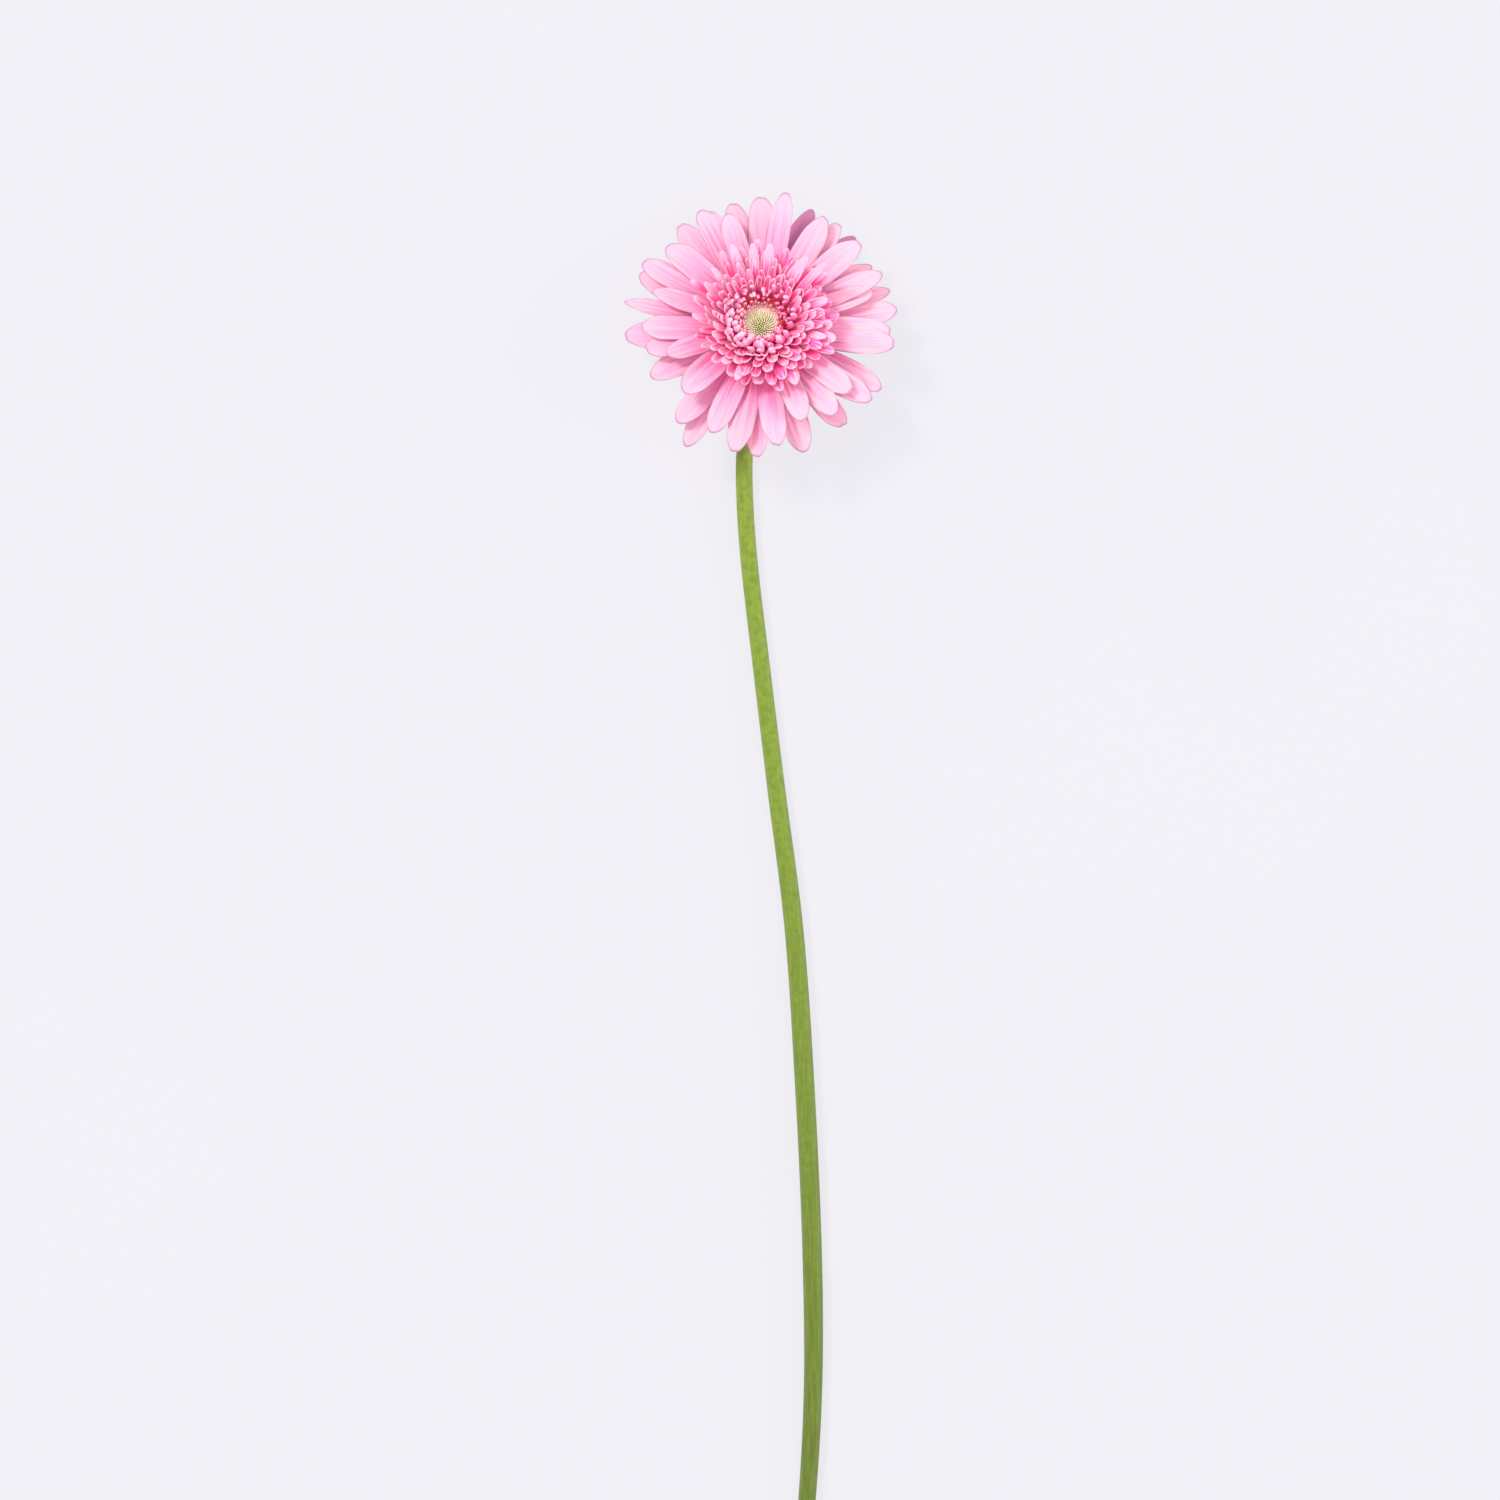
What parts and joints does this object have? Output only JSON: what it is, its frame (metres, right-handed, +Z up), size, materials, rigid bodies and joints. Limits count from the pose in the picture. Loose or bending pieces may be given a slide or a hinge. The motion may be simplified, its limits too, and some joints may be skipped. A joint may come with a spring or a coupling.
{
  "type": "cut gerbera",
  "caption": "Cut gerbera with one pale pink, semi-double flower head on a leafless green stem, laid flat on its back with the neck bent up into the head.",
  "frame": {"origin": "middle of the flower's box, on the surface it lies on", "axes": "+Y along the stem from the cut end to the flower head, +Z up away from the surface, +X to the right when the head is at the top"},
  "size_m": [0.101, 0.5322, 0.0462],
  "materials": {
    "stem": null,
    "bracts": null,
    "ray_petals": null,
    "trans_florets": null,
    "inner_florets": null,
    "disc": null
  },
  "bodies": {
    "root": {"stem": "stem", "receptacle": "bracts", "outer_bracts": "bracts", "middle_bracts": "bracts", "inner_bracts": "bracts", "ray_petal_01": "ray_petals", "ray_petal_02": "ray_petals", "ray_petal_03": "ray_petals", "ray_petal_04": "ray_petals", "ray_petal_05": "ray_petals", "ray_petal_06": "ray_petals", "ray_petal_07": "ray_petals", "ray_petal_08": "ray_petals", "ray_petal_09": "ray_petals", "ray_petal_10": "ray_petals", "ray_petal_11": "ray_petals", "ray_petal_12": "ray_petals", "ray_petal_13": "ray_petals", "ray_petal_14": "ray_petals", "ray_petal_15": "ray_petals", "ray_petal_16": "ray_petals", "ray_petal_17": "ray_petals", "ray_petal_18": "ray_petals", "ray_petal_19": "ray_petals", "ray_petal_20": "ray_petals", "ray_petal_21": "ray_petals", "ray_petal_22": "ray_petals", "ray_petal_23": "ray_petals", "ray_petal_24": "ray_petals", "ray_petal_25": "ray_petals", "ray_petal_26": "ray_petals", "ray_petal_27": "ray_petals", "ray_petal_28": "ray_petals", "ray_petal_29": "ray_petals", "ray_petal_30": "ray_petals", "ray_petal_31": "ray_petals", "ray_petal_32": "ray_petals", "ray_petal_33": "ray_petals", "ray_petal_34": "ray_petals", "ray_petal_35": "ray_petals", "ray_petal_36": "ray_petals", "ray_petal_37": "ray_petals", "ray_petal_38": "ray_petals", "ray_petal_39": "ray_petals", "ray_petal_40": "ray_petals", "ray_petal_41": "ray_petals", "ray_petal_42": "ray_petals", "ray_petal_43": "ray_petals", "ray_petal_44": "ray_petals", "ray_petal_45": "ray_petals", "trans_florets_1": "trans_florets", "trans_florets_2": "trans_florets", "trans_florets_3": "trans_florets", "trans_florets_4": "trans_florets", "inner_florets_1": "inner_florets", "inner_florets_2": "inner_florets", "disc_florets": "disc"}
  },
  "joints": []
}
